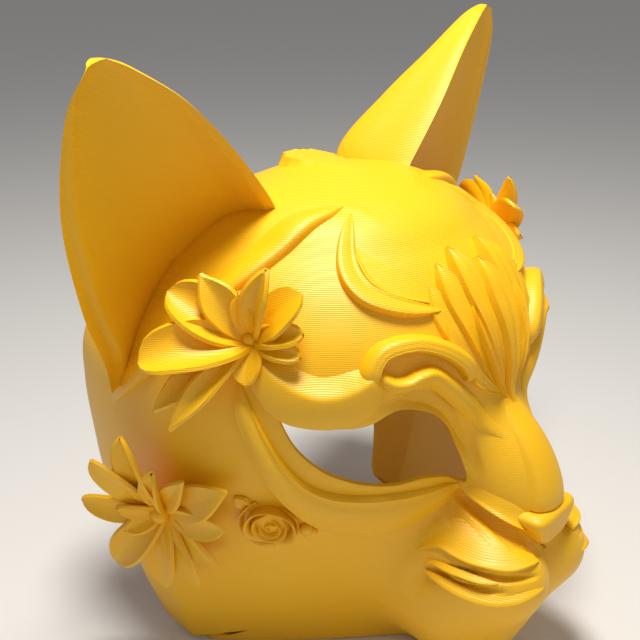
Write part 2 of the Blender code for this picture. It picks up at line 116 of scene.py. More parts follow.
def along(points, count):
    """Even steps along a smooth curve through the points."""
    return smooth_curve(np.linspace(0, len(points) - 1, count), np.arange(len(points)), points)


def unit(vectors):
    return vectors / np.maximum(np.linalg.norm(vectors, axis=-1, keepdims=True), 1e-9)


def blend(a, b, width):
    share = np.clip(0.5 + 0.5 * (b - a) / width, 0.0, 1.0)
    return b * (1 - share) + a * share - width * share * (1 - share)


def swelling(p, name):
    side, forward, height, half_width, half_depth, half_height, tilt, soft = SWELLINGS[name]
    x = np.abs(p[:, 0]) - side * HALF_WIDTH if side else p[:, 0]
    y = p[:, 1] - WIDEST_Y + forward * MUZZLE_REACH
    z = p[:, 2] - height * CROWN_HEIGHT
    turn = radians(tilt)
    y, z = y * np.cos(turn) + z * np.sin(turn), z * np.cos(turn) - y * np.sin(turn)
    radii = np.array([half_width * HALF_WIDTH, half_depth * MUZZLE_REACH, half_height * CROWN_HEIGHT])
    scaled = np.stack([x, y, z], axis=-1) / radii
    reach = np.linalg.norm(scaled, axis=1)
    return reach * (reach - 1) / (np.linalg.norm(scaled / radii, axis=1) + 1e-9), soft * HALF_WIDTH


def head_field(p):
    """Roughly the distance to a smooth head without a muzzle, below zero inside."""
    depth = p[:, 1] - WIDEST_Y
    fall = CROWN_FALL * np.maximum(depth + CROWN_FALL_START * HALF_WIDTH, 0) ** 2 / CROWN_HEIGHT
    high = np.clip(p[:, 2] / (0.4 * CROWN_HEIGHT) - 1.5, 0, 1)
    height = np.clip((p[:, 2] + fall * high) / CROWN_HEIGHT, LEVELS[0, 0], LEVELS[-1, 0])
    front, width, power = smooth_curve(height, LEVELS[:, 0], LEVELS[:, 1:]).T
    width = width * HALF_WIDTH
    ahead = depth < 0
    reach = np.where(ahead, front * BROW_REACH, width * BACK_REACH / HALF_WIDTH)
    power = np.where(ahead, power, BACK_POWER)
    size = (np.abs(p[:, 0] / width) ** power + np.abs(depth / reach) ** power) ** (1 / power)
    outside = np.maximum((size - 1) * width * 0.8, p[:, 2] - CROWN_HEIGHT)
    return np.maximum(outside, LEVELS[0, 0] * CROWN_HEIGHT - p[:, 2])


def form_field(p):
    """Roughly the distance to the outer surface of the mask, below zero inside."""
    field = head_field(p)
    for name in SWELLINGS:
        lump, soft = swelling(p, name)
        field = blend(field, lump, soft)
    return field


def form_points(directions):
    """Where rays from the centre leave the form."""
    low = np.zeros(len(directions))
    high = np.full(len(directions), 2 * CROWN_HEIGHT)
    for _ in range(26):
        middle = (low + high) / 2
        inside = form_field(CENTRE + directions * middle[:, None]) < 0
        low = np.where(inside, middle, low)
        high = np.where(inside, high, middle)
    return CENTRE + directions * low[:, None]


def form_normals(points):
    step = 0.004 * HALF_WIDTH
    slopes = [form_field(points + step * axis) - form_field(points - step * axis) for axis in np.eye(3)]
    return unit(np.stack(slopes, axis=-1))


def bearings(rows):
    """Directions from the centre, for rows of bearing and elevation in degrees."""
    bearing, elevation = np.radians(np.asarray(rows, dtype=float)[:, :2]).T
    level = np.cos(elevation)
    return np.stack([np.sin(bearing) * level, -np.cos(bearing) * level, np.sin(elevation)], axis=-1)


def angles(directions):
    """Bearing and elevation in degrees of directions from the centre."""
    bearing = np.degrees(np.arctan2(directions[:, 0], -directions[:, 1]))
    return np.stack([bearing, np.degrees(np.arcsin(np.clip(directions[:, 2], -1, 1)))], axis=-1)


def project(points):
    """Move points along their rays onto the form."""
    return form_points(unit(points - CENTRE))


def make_piece(name, points, faces, replaced=(), sharp=50):
    mesh = bpy.data.meshes.new(name)
    mesh.from_pydata([tuple(p) for p in points], [], [tuple(f) for f in faces])
    bm = bmesh.new()
    bm.from_mesh(mesh)
    bmesh.ops.recalc_face_normals(bm, faces=bm.faces)
    bm.to_mesh(mesh)
    bm.free()
    mesh.shade_smooth()
    mesh.set_sharp_from_angle(angle=radians(sharp))
    piece = bpy.data.objects.new(name, mesh)
    bpy.context.scene.collection.objects.link(piece)
    mesh.materials.append(yellow)
    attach(piece, "root")
    if replaced:
        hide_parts(*replaced)
    return piece


class Mould:
    """Collects closed shapes that belong to one piece."""

    def __init__(self):
        self.points = []
        self.faces = []
        self.count = 0

    def add(self, points, faces):
        self.points.append(points)
        self.faces.extend([tuple(index + self.count for index in face) for face in faces])
        self.count += len(points)

    def slab(self, top, bottom):
        """Close the space between two grids of points with the same rows and columns."""
        rows, columns = top.shape[:2]
        size = rows * columns
        faces = []
        for i in range(rows - 1):
            for j in range(columns - 1):
                a = i * columns + j
                quad = (a, a + 1, a + columns + 1, a + columns)
                faces.append(quad)
                faces.append(tuple(size + index for index in reversed(quad)))
        edge = [i * columns for i in range(rows)] + [(rows - 1) * columns + j for j in range(1, columns)]
        edge += [i * columns + columns - 1 for i in range(rows - 2, -1, -1)]
        edge += [j for j in range(columns - 2, 0, -1)]
        for a, b in zip(edge, edge[1:] + edge[:1]):
            faces.append((a, b, size + b, size + a))
        self.add(np.concatenate([top.reshape(-1, 3), bottom.reshape(-1, 3)]), faces)

    def piece(self, name, slot, replaced, flip=False):
        points = np.concatenate(self.points)
        if flip:
            points = points * np.array([-1, 1, 1])
        return make_piece(name, points, self.faces, replaced)


def yellow_plastic():
    """Satin plastic with fine print lines and faint streaks along them."""
    material = bpy.data.materials.new("yellow_plastic")
    material.use_nodes = True
    nodes, links = material.node_tree.nodes, material.node_tree.links
    shader = nodes["Principled BSDF"]
    shader.inputs["Roughness"].default_value = 0.42
    shader.inputs["Base Color"].default_value = (0.92, 0.50, 0.004, 1)
    place = nodes.new("ShaderNodeTexCoord")
    wave = nodes.new("ShaderNodeTexWave")
    wave.wave_type = "BANDS"
    wave.bands_direction = "Z"
    wave.inputs["Scale"].default_value = 420
    wave.inputs["Distortion"].default_value = 0.5
    wave.inputs["Detail"].default_value = 1
    links.new(place.outputs["Object"], wave.inputs["Vector"])
    stretch = nodes.new("ShaderNodeMapping")
    stretch.inputs["Scale"].default_value = (40, 40, 900)
    links.new(place.outputs["Object"], stretch.inputs["Vector"])
    streaks = nodes.new("ShaderNodeTexNoise")
    streaks.inputs["Scale"].default_value = 1
    streaks.inputs["Detail"].default_value = 2
    links.new(stretch.outputs["Vector"], streaks.inputs["Vector"])
    height = nodes.new("ShaderNodeMath")
    links.new(wave.outputs["Fac"], height.inputs[0])
    links.new(streaks.outputs["Fac"], height.inputs[1])
    bump = nodes.new("ShaderNodeBump")
    bump.inputs["Strength"].default_value = 0.3
    bump.inputs["Distance"].default_value = 0.0003
    links.new(height.outputs["Value"], bump.inputs["Height"])
    links.new(bump.outputs["Normal"], shader.inputs["Normal"])
    return material


def inside_outline(places, outline):
    """Which places lie inside a closed outline, by counting crossings."""
    inside = np.zeros(len(places), dtype=bool)
    x, y = places.T
    for (x0, y0), (x1, y1) in zip(outline, np.roll(outline, -1, axis=0)):
        crosses = (y0 > y) != (y1 > y)
        inside ^= crosses & (x < x0 + (y - y0) * (x1 - x0) / (y1 - y0 + 1e-12))
    return inside


def nearest_on_outline(places, outline):
    fine = np.concatenate([np.linspace(a, b, 12, endpoint=False)
                           for a, b in zip(outline, np.roll(outline, -1, axis=0))])
    gaps = np.linalg.norm(places[:, None] - fine[None], axis=2)
    return fine[np.argmin(gaps, axis=1)]


def polar_directions(polar, around):
    ahead, up = np.cos(polar), np.sin(polar) * np.sin(around)
    dip = radians(MUZZLE_DIP)
    return np.stack([np.sin(polar) * np.cos(around), -ahead * np.cos(dip) - up * np.sin(dip),
                     up * np.cos(dip) - ahead * np.sin(dip)], axis=-1)


def beyond_rim(points):
    """Whether points lie under the floor or behind the back rim."""
    height = points[:, 2] / CROWN_HEIGHT
    rim = np.array(RIM)
    back = WIDEST_Y + np.interp(height, rim[:, 0], rim[:, 1]) * RIM_REACH
    return (points[:, 2] < 0) | (points[:, 1] > back)


def rim_angles(around):
    """The polar angle at which each column of the grid meets the rim."""
    trial = np.linspace(0.3, 2.9, 90)
    grid_polar, grid_around = (a.ravel() for a in np.meshgrid(trial, around))
    out = beyond_rim(form_points(polar_directions(grid_polar, grid_around))).reshape(len(around), -1)
    first = np.argmax(out, axis=1)
    low, high = trial[np.maximum(first - 1, 0)], trial[first]
    for _ in range(14):
        middle = (low + high) / 2
        gone = beyond_rim(form_points(polar_directions(middle, around)))
        high = np.where(gone, middle, high)
        low = np.where(gone, low, middle)
    return low


def shell_piece():
    """The outer skin, the inner skin and the edges between them, as one closed wall."""
    around = np.linspace(0, 2 * np.pi, SHELL_COLUMNS, endpoint=False)
    limit = rim_angles(around)
    share = np.linspace(0, 1, SHELL_ROWS + 1)[1:]
    share = 0.55 * share + 0.45 * share ** 2
    polar = share[:, None] * limit[None]
    directions = polar_directions(polar.ravel(), np.tile(around, SHELL_ROWS))
    directions = np.concatenate([polar_directions(np.zeros(1), np.zeros(1)), directions])
    columns = SHELL_COLUMNS
    quads = []
    for i in range(SHELL_ROWS - 1):
        start = 1 + i * columns
        for j in range(columns):
            k = (j + 1) % columns
            quads.append((start + j, start + k, start + columns + k, start + columns + j))
    quads = np.array(quads)
    fan = [(0, 1 + j, 1 + (j + 1) % columns) for j in range(columns)]

    places = angles(directions)
    outline = along(EYE_HOLE + EYE_HOLE[:1], 6 * len(EYE_HOLE) + 1)[:-1]
    edge_points = np.zeros(len(directions), dtype=bool)
    keep = np.ones(len(quads), dtype=bool)
    for sign in (1, -1):
        mirror = np.array([sign, 1])
        hole = outline * mirror
        inside = inside_outline(places[quads].mean(axis=1), hole)
        keep &= ~inside
        touched = np.intersect1d(quads[inside], quads[~inside])
        places[touched] = nearest_on_outline(places[touched], hole)
        edge_points[touched] = True
    directions[edge_points] = bearings(places[edge_points])
    quads = quads[keep]

    outer = form_points(directions)
    normals = form_normals(outer)
    inner = outer - normals * WALL
    rim = slice(1 + (SHELL_ROWS - 1) * columns, None)
    edge_points[rim] = True
    relief = shell_relief(outer)
    outer = outer + normals * np.where(edge_points, np.minimum(relief, 0) - 0.0006, relief)[:, None]
    inner = inner + normals * np.where(edge_points, 0.0005, 0.0)[:, None]
    # The rim stays flat on the floor
    for skin in (outer, inner):
        rise = np.clip((skin[:, 2] - 0.001) / 0.008, 0, 1)
        skin[edge_points, 2] *= rise[edge_points]
        skin[:, 2] = np.maximum(skin[:, 2], 0.0)

    count = len(outer)
    faces = [tuple(quad) for quad in quads] + fan
    edges = {(a, b): True for face in faces for a, b in zip(face, face[1:] + face[:1])}
    faces += [tuple(count + index for index in reversed(face)) for face in faces]
    for a, b in edges:
        if (b, a) not in edges:
            faces.append((b, a, count + a, count + b))
    used = np.unique(np.concatenate([np.ravel(face) for face in faces]))
    renumber = np.full(2 * count, -1)
    renumber[used] = np.arange(len(used))
    points = np.concatenate([outer, inner])[used]
    faces = [tuple(renumber[list(face)]) for face in faces]
    return make_piece("shell", points, faces, ("mask_shell",))


def line_on_form(rows, steps):
    """A smooth line on the form: its rows, points, outward normals and across directions."""
    rows = along(rows, steps)
    line = form_points(bearings(rows))
    normal = form_normals(line)
    across = unit(np.cross(normal, np.gradient(line, axis=0)))
    return rows, line, normal, across


def stroke(points, rows, profile, steps=60):
    """Height that a line adds to the form. Rows give bearing, elevation, half width and height."""
    points = points * np.where(points[:, :1] > 0, np.array([-1, 1, 1]), 1)
    rows, line, normal, across = line_on_form(in_metres(rows), steps)
    height = np.zeros(len(points))
    reach = np.linalg.norm(points[:, None] - line[None, ::5], axis=2).min(axis=1)
    near = np.nonzero(reach < 0.006 + 1.5 * rows[:, 2].max())[0]
    starts, spans = line[:-1], np.diff(line, axis=0)
    offset = points[near, None] - starts[None]
    share = np.clip(np.sum(offset * spans, axis=2) / np.sum(spans ** 2, axis=1), 0, 1)
    gaps = np.linalg.norm(offset - share[..., None] * spans, axis=2)
    closest = np.argmin(gaps, axis=1)
    here = (np.arange(len(near)), closest)
    share = share[here][:, None]
    row = rows[closest] * (1 - share) + rows[closest + 1] * share
    side = across[closest] * (1 - share) + across[closest + 1] * share
    away = np.sum((offset[here] - share * spans[closest]) * side, axis=1)
    height[near] = row[:, 3] * profile(np.sign(away) * gaps[here] / row[:, 2])
    return height


def bell(u):
    return np.clip(1 - u ** 2, 0, 1) ** 2


MM = 0.001

# Dents and soft creases: bearing and elevation of a line, half width and height in millimetres
PAD_DENTS = (
    ((-23.5, -22.2, 1.5, 0), (-20.5, -19.4, 2.2, -2.4), (-17.2, -16.4, 2.6, -3.4), (-14, -15.3, 2.6, -3.2),
     (-10.8, -14.8, 2.2, -2.6), (-7.5, -15, 1.5, 0)),
    ((-23.5, -24, 1.5, 0), (-20.7, -21.5, 2.6, -2.6), (-18.7, -19.6, 3.2, -3.6), (-16.6, -18.2, 3, -3.2),
     (-14, -17, 1.8, 0)),
)
WING_HOLLOW = ((-13.5, -5.5, 1.5, 0), (-11.4, -7.8, 4, -2.5), (-9.4, -9.8, 6, -5), (-7.6, -11.6, 6.5, -6),
               (-6, -13, 5, -2))
SOCKET = ((-38, 23, 5, 0), (-32, 24, 6.5, -3), (-26, 23.5, 7, -5), (-20, 20, 7, -5), (-15, 13, 6, -4),
          (-12, 5, 5, -2.5), (-11, -1, 4, 0))
PAD_VALLEY = ((-11, -7, 3, 0), (-14.5, -12, 5, -1.5), (-20, -19, 6, -2.5), (-24, -26, 7, -2.5),
              (-26, -34, 7, 0))
DOME_CREASES = (((-56, 71, 2.5, 0), (-45, 69, 2.5, 0.5), (-35, 65, 2.5, 0.5), (-26, 58, 2, 0)),
                ((-30, 70, 2, 0), (-16, 66, 2.5, 0.4), (-8, 60, 2, 0)))


def in_metres(rows):
    return np.array(rows, dtype=float) * np.array([1, 1, MM, MM])


def shell_relief(points):
    lines = PAD_DENTS + (WING_HOLLOW, SOCKET, PAD_VALLEY) + DOME_CREASES
    return sum(stroke(points, rows, bell) for rows in lines)


def relief_strip(mould, rows, profile, steps=90, columns=33, sink=1.0):
    """A raised form along a line. Rows give bearing, elevation, width below, width above and rise."""
    rows = np.array(rows, dtype=float)
    rows[:, 2:] *= MM
    rows, line, normal, across = line_on_form(rows, steps)
    knots, shares = np.array(profile, dtype=float).T
    u = np.linspace(-1, 1, columns)
    u = 0.6 * u + 0.4 * np.sin(np.pi / 2 * u)
    share = smooth_curve(u, knots, shares)
    top = np.empty((steps, columns, 3))
    bottom = np.empty_like(top)
    for j in range(columns):
        reach = np.where(u[j] < 0, rows[:, 2], rows[:, 3]) * u[j]
        foot = project(line + across * reach[:, None])
        facing = form_normals(foot)
        top[:, j] = foot + facing * (rows[:, 4] * share[j] - 0.25 * MM)[:, None]
        bottom[:, j] = foot - facing * (sink + 0.25) * MM
    mould.slab(top, bottom)


# Profiles from the lower edge, -1, over the line, 0, to the upper edge, 1
BROW_PROFILE = ((-1, 0.35), (-0.7, 0.62), (-0.35, 0.86), (-0.08, 0.98), (0, 1), (0.1, 0.95), (0.35, 0.62),
                (0.65, 0.24), (1, -0.08))
RIBBON_PROFILE = ((-1, -0.2), (-0.94, 0.3), (-0.84, 0.82), (-0.6, 0.98), (-0.2, 1), (0.3, 0.92),
                  (0.7, 0.5), (1, -0.15))
LIP_PROFILE = ((-1, -0.1), (-0.85, 0.25), (-0.55, 0.8), (-0.25, 1), (0.15, 0.97), (0.5, 0.7), (0.8, 0.3),
               (1, -0.2))
LEAF_PROFILE = ((-1, -0.3), (-0.975, 0.35), (-0.93, 0.62), (-0.7, 0.76), (-0.3, 0.94), (0, 1), (0.35, 0.9),
                (0.75, 0.62), (0.86, 0.6), (0.93, 0.66), (1, 0.1))
LEDGE_PROFILE = ((-1, -0.3), (-0.93, 0.35), (-0.8, 0.85), (-0.6, 1), (-0.2, 0.86), (0.3, 0.42),
                 (0.7, 0.12), (1, -0.12))
CRESCENT_PROFILE = ((-1, -0.2), (-0.93, 0.45), (-0.82, 0.9), (-0.62, 1), (-0.2, 0.9), (0.4, 0.62),
                    (0.85, 0.42),
                    (1, -0.1))
BAR_PROFILE = ((-1, -0.2), (-0.88, 0.2), (-0.72, 0.75), (-0.5, 0.97), (0, 1), (0.5, 0.97), (0.72, 0.75),
               (0.88, 0.2), (1, -0.2))

BROW = ((-69, 34, 2, 3, 0.5), (-66.5, 32, 7, 7, 3), (-62, 29.2, 12, 10, 5), (-57, 26.8, 15, 11, 5.5),
        (-51.5, 25.5, 14, 11, 6), (-46.5, 25.9, 14, 11, 6), (-42.5, 27.3, 13, 10, 6.4),
        (-40, 28.8, 9, 8, 6.4),
        (-38.2, 30.6, 4, 4, 4))
SCROLL = ((-39.6, 27.8, 3, 4, 4.5), (-39.8, 29.8, 4.5, 5.5, 6.4), (-38.8, 32, 4.2, 5.5, 7),
          (-36.6, 34, 4.2, 5, 7.2), (-32.5, 34.9, 4.2, 4.8, 7.2), (-27.5, 34.9, 4.4, 4.5, 7),
          (-22.5, 33.6, 4.6, 4.5, 7), (-18, 31.4, 5, 4.5, 7), (-14.8, 28.9, 5.5, 4.5, 6.5),
          (-13.8, 26.6, 4.6, 4, 5), (-14.4, 25, 2, 2, 2.5))
FOLD = ((-38.2, 31.4, 1.5, 1.5, 1.5), (-36.8, 29.4, 4.5, 3, 5), (-34.4, 28, 5.5, 3.2, 6.6),
        (-31.4, 27.9, 5.8, 3.2, 7), (-28.2, 28.8, 6, 3.2, 7), (-24.6, 28.8, 6.4, 3.6, 6.4),
        (-20.5, 26, 6.4, 4.4, 5.6), (-16.2, 22, 6, 5.4, 4.6), (-12.2, 17.6, 5, 6, 3.4),
        (-8.8, 13.2, 4, 5, 2), (-6.5, 10, 2, 3, 0.4))
LID = ((-70.2, 27, 1, 1, 0.6), (-68.8, 22.2, 4, 4, 3.2), (-66, 15.4, 4.6, 5.6, 4.4),
       (-62.4, 7.4, 5.2, 7.4, 5), (-57, -0.6, 7, 10, 5.4), (-49.8, -6, 10.5, 12.5, 5.6),
       (-40.5, -8.4, 13.6, 13, 5.6), (-31, -9.4, 13.6, 13.5, 5.4), (-23, -8.2, 9.4, 11, 4.8),
       (-17, -6, 5.4, 7, 4), (-12.2, -4.2, 1.2, 1.6, 1.4))
PAD_LIPS = (
    ((-24.2, -21.6, 0.6, 0.8, 0.4), (-22, -19, 2.2, 4, 1.6), (-19, -16.2, 2.6, 7, 2.6),
     (-16, -14.4, 2.8, 8, 3),
     (-12.5, -13.6, 2.8, 8, 3), (-9.5, -13.2, 2.4, 6, 2.6), (-6.5, -13.4, 1.2, 3, 1)),
    ((-23.2, -22.2, 0.4, 0.5, 0.3), (-21.2, -20, 1.6, 1.6, 1.6), (-19, -18, 1.9, 1.8, 2),
     (-17, -16.9, 1.6, 1.6, 1.8), (-15, -16.2, 0.4, 0.5, 0.3)),
    ((-23.6, -24.4, 0.6, 0.6, 0.3), (-21.6, -22.6, 2.6, 2, 2), (-19.2, -21, 3.2, 2.4, 2.8),
     (-16, -19.4, 3.4, 2.6, 3), (-13, -18, 3.2, 2.6, 2.8), (-10, -17, 2.4, 2, 2), (-7, -17, 0.6, 0.8, 0.5)),
)
WING = ((-11.8, -3.6, 0.6, 1, 0.4), (-10.8, -4.9, 1.8, 4, 2.6), (-9.6, -5.7, 2.4, 7, 4.2),
        (-8, -6.8, 2.6, 8, 5.2), (-6.6, -8, 2.4, 7, 5.4), (-5.6, -9.4, 1.6, 4, 4.2))
BRIDGE = ((0, 19, 5, 5, 0.3), (0, 13, 10, 10, 1.2), (0, 7, 12, 12, 2.2), (0, 1.5, 13.5, 13.5, 3),
          (0, -3, 14.5, 14.5, 3.6), (0, -5.4, 14.5, 14.5, 3.4))
INNER_LEAF = ((-40.2, 57, 0.6, 1, 0.2), (-39.6, 54.5, 1.2, 7, 1), (-38.6, 51.5, 1.6, 12, 2),
              (-36.6, 48.2, 2, 16, 2.6),
              (-32.6, 45.6, 2, 16, 2.8), (-27.2, 43.8, 2, 14, 2.6), (-22.5, 42.6, 1.4, 8, 1.8),
              (-18.8, 41.8, 0.6, 1.5, 0.3))
EAR_PLINTH = ((-110, 12, 3, 2, 0.3), (-105, 18.6, 8, 7, 2.6), (-97.5, 27, 10, 8, 3.8),
              (-91, 36.6, 10, 8, 4.2),
              (-79, 48, 10, 8, 4.2), (-70.5, 55.8, 10, 8, 4.2), (-62, 62.5, 10, 8, 4), (-50, 66, 6, 5, 2.4),
              (-40, 68, 1, 1, 0.2))
CRESCENT = ((-38.5, 64.5, 0.6, 0.6, 0.4), (-41.4, 60, 3.4, 3, 1.8), (-43, 54.6, 5, 4.5, 3),
            (-42.4, 49.8, 6, 5.5, 4),
            (-39.2, 46, 6.2, 5.5, 4.6), (-34.4, 43.7, 5.6, 5, 4.6), (-28.4, 42, 4.6, 4, 4.2),
            (-23.2, 41, 3, 2.6, 3.4),
            (-18.6, 40.3, 0.8, 0.8, 1.4))


def petal(mould, place, row, reach, thickness=3.2 * MM):
    """A cupped leaf that springs from the surface at a bearing and elevation."""
    turn, length, width, root_slope, tip_slope, cup, roll, point = row
    centre, normal, forward, crown = surface_frame(place)
    angle = radians(turn)
    out = forward * np.cos(angle) + crown * np.sin(angle)
    sideways = np.cross(normal, out)
    rows, columns = 19, 13
    share = np.linspace(0, 1, rows) ** 0.85
    slope = np.radians(smooth_curve(share, (0, 0.5, 1),
    (root_slope, (root_slope + tip_slope) / 2, tip_slope)))
    step = length * reach * np.diff(share)
    run = np.concatenate([[0], np.cumsum(np.cos(slope[1:]) * step)])
    lift = np.concatenate([[0], np.cumsum(np.sin(slope[1:]) * step)])
    shape = smooth_curve(share, (0, 0.2, 0.45, 0.7, 0.86, 0.95, 1),
                         (0.3, 0.7, 1, 0.98, 0.8 - 0.28 * point, 0.5 - 0.3 * point, 0.08))
    half = width * reach / 2 * shape
    across = np.linspace(-1, 1, columns)
    top = np.empty((rows, columns, 3))
    bottom = np.empty_like(top)
    for i in range(rows):
        facing = normal * np.cos(slope[i]) - out * np.sin(slope[i])
        spine = centre + out * run[i] + normal * (lift[i] - 1.5 * MM)
        tilt = radians(roll) * share[i]
        side = sideways * np.cos(tilt) + facing * np.sin(tilt)
        face = facing * np.cos(tilt) - sideways * np.sin(tilt)
        bend = cup * 1.1 * across
        arc = np.where(abs(cup) > 0.01, np.sin(bend) / (1.1 * cup + 1e-9), across)
        rise = (1 - np.cos(bend)) / (1.1 * abs(cup) + 1e-9) * np.sign(cup)
        vein = -0.25 * MM * np.exp(-(across / 0.12) ** 2) * np.sin(np.pi * share[i])
        thin = thickness * (1 - 0.3 * across ** 4) * (1 - 0.3 * share[i])
        middle = spine + side * (half[i] * arc)[:, None] + face * (half[i] * rise + vein)[:, None]
        outward = face[None] * np.cos(bend)[:, None] - side[None] * np.sin(bend)[:, None]
        top[i] = middle + outward * thin[:, None] / 2
        bottom[i] = middle - outward * thin[:, None] / 2
    mould.slab(top, bottom)


def ball(mould, centre, radius, squash=1.0, normal=(0, 0, 1)):
    """A round heart, flattened along the normal."""
    rows, columns = 12, 18
    normal = np.array(normal)
    side = unit(np.cross(normal, [0.3, 0.5, 0.8]))
    other = np.cross(normal, side)
    points = [centre + normal * radius * squash]
    for polar in np.linspace(0, np.pi, rows + 1)[1:-1]:
        for around in np.linspace(0, 2 * np.pi, columns, endpoint=False):
            points.append(centre + (side * np.cos(around) + other * np.sin(around)) * radius * np.sin(polar)
                          + normal * radius * squash * np.cos(polar))
    points.append(centre - normal * radius * squash)
    last = len(points) - 1
    faces = [(0, 1 + j, 1 + (j + 1) % columns) for j in range(columns)]
    for i in range(rows - 2):
        for j in range(columns):
            a, b = 1 + i * columns + j, 1 + i * columns + (j + 1) % columns
            faces.append((a, a + columns, b + columns, b))
    start = 1 + (rows - 2) * columns
    faces += [(last, start + (j + 1) % columns, start + j) for j in range(columns)]
    mould.add(np.array(points), faces)


# Petals: turn from forward towards the crown in degrees, length and width as shares of the reach,
# slope at root and tip, cup, roll and how pointed the tip is
LILY_PLACE = (-68.5, 36)
LILY_REACH = 0.052
LILY_PETALS = ((158, 0.84, 0.50, 46, 4, 1.0, 16, 0.2), (132, 0.74, 0.34, 54, 16, 0.8, 8, 1.0),
               (-156, 1.0, 0.54, 48, 2, 1.0, 20, 0.0), (70, 0.76, 0.30, 58, 22, 1.2, 0, 0.6),
               (42, 0.68, 0.36, 44, 4, 0.5, -12, 0.0), (10, 0.54, 0.26, 40, -4, 1.1, 0, 0.0),
               (-12, 0.52, 0.22, 30, -4, 0.9, 0, 0.2), (-84, 0.42, 0.26, 36, -12, 0.6, 0, 0.3),
               (-119, 1.06, 0.22, 40, -6, 0.8, -20, 1.0), (-134, 1.06, 0.26, 34, -12, 0.7, 0, 0.8),
               (100, 0.5, 0.22, 60, 28, 0.9, 0, 0.6))
FLOWER_PLACE = (-94.5, -12.5)
FLOWER_REACH = 0.050
FLOWER_PETALS = ((10, 0.86, 0.34, 22, -6, 0.6, 0, 0.3), (34, 1.12, 0.36, 20, -6, 0.5, -14, 0.8),
                 (52, 0.96, 0.24, 34, 4, 0.6, 0, 0.8), (72, 0.84, 0.30, 42, 8, 1.3, 0, 0.2),
                 (94, 1.12, 0.36, 38, 4, 1.1, 10, 0.1), (116, 1.0, 0.34, 44, 20, 0.5, 10, 0.1),
                 (168, 0.84, 0.36, 44, 20, 0.7, 0, 0.2), (-128, 0.94, 0.42, 32, 2, 0.9, 0, 0.3),
                 (-90, 0.92, 0.38, 24, -4, 0.6, 0, 0.6), (-60, 0.86, 0.34, 22, -6, 0.6, 0, 0.7),
                 (-30, 0.80, 0.32, 20, -6, 0.6, 0, 0.7), (150, 0.5, 0.24, 60, 40, 0.9, 0, 0.4),
                 (-150, 0.46, 0.22, 58, 36, 0.9, 0, 0.4))
ROSE_PLACE = (-64.5, -11)


def surface_frame(place):
    """A point on the form with its normal, the way forward and the way to the crown."""
    centre = form_points(bearings([place]))
    normal = form_normals(centre)[0]
    crown = unit(np.array([0, 0, 1.0]) - normal * normal[2])
    forward = np.cross(normal, crown)
    return centre[0], normal, forward * np.sign(-forward[1]), crown


def cup_wall(mould, place, start, end, radii, height, flare, thickness=1.5 * MM):
    """A curved petal that stands on the surface and leans out, round part of a circle."""
    centre, normal, forward, crown = surface_frame(place)
    rows, columns = 37, 9
    around = np.radians(np.linspace(start, end, rows))
    share = np.linspace(0, 1, rows)
    radius = (radii[0] + (radii[1] - radii[0]) * share) * MM
    ends = np.clip(6 * share, 0, 1) * np.clip(6 * (1 - share), 0, 1) if abs(end - start) < 355 else 1.0
    high = height * MM * (0.45 + 0.55 * ends * np.ones(rows))
    out = forward * np.cos(around)[:, None] + crown * np.sin(around)[:, None]
    top = np.empty((rows, columns, 3))
    bottom = np.empty_like(top)
    for j, up in enumerate(np.linspace(0, 1, columns)):
        lean = radius + flare * MM * up ** 2
        level = centre + normal * (high * up - 1.2 * MM)[:, None]
        half = thickness / 2 * (1 - 0.75 * max(up - 0.8, 0) / 0.2)
        top[:, j] = level + out * (lean + half)[:, None]
        bottom[:, j] = level + out * (lean - half)[:, None]
    mould.slab(top, bottom)


def rose(mould):
    """Curled petals wound round a bud, with a small bud and a leaf beside them."""
    centre, normal, forward, crown = surface_frame(ROSE_PLACE)
    ball(mould, centre + normal * 0.5 * MM, 9 * MM, 0.3, normal)
    for start, end, radii, height, flare in ((115, 275, (14, 15), 4, 1.5), (-60, 70, (13, 11.5), 3.5, 1),
                                             (-85, 250, (10.5, 10.5), 7.5, 2),
                                             (60, 400, (8, 6.4), 6.5, 1.2),
                                             (150, 460, (5, 4), 6.5, 0.6), (0, 290, (2.6, 1.6), 6, 0.3)):
        cup_wall(mould, ROSE_PLACE, start, end, radii, height, flare)
    for right, up, size in ((16.5, -3, 3.4), (19.5, -5, 2.6), (17.5, -6.5, 2.6)):
        spot = project(centre[None] + (forward * right + crown * up)[None] * MM)[0]
        ball(mould, spot + normal * 1.0 * MM, size * MM, 0.8, normal)
    petal(mould, (ROSE_PLACE[0] - 4, ROSE_PLACE[1] + 4.5), (140, 0.8, 0.5, 24, -6, 0.5, 0, 0.6), 15 * MM)


def flower_pieces(name, place, petals, reach, heart):
    for side, flip in (("right", False), ("left", True)):
        mould = Mould()
        for row in petals:
            petal(mould, place, row, reach)
        centre, normal, forward, crown = surface_frame(place)
        ball(mould, centre + normal * heart * 0.6, heart, 1.0, normal)
        mould.piece(name + "_" + side + "_looks", name, (name + "_" + side,), flip)


def rose_pieces():
    for side, flip in (("right", False), ("left", True)):
        mould = Mould()
        rose(mould)
        mould.piece("cheek_rose_" + side + "_looks", "cheek_rose", ("cheek_rose_" + side,), flip)


def strip_pieces(name, strips):
    for side, flip in (("right", False), ("left", True)):
        mould = Mould()
        for rows, profile in strips:
            relief_strip(mould, rows, profile)
        mould.piece(name + "_" + side + "_looks", name, (name + "_" + side,), flip)


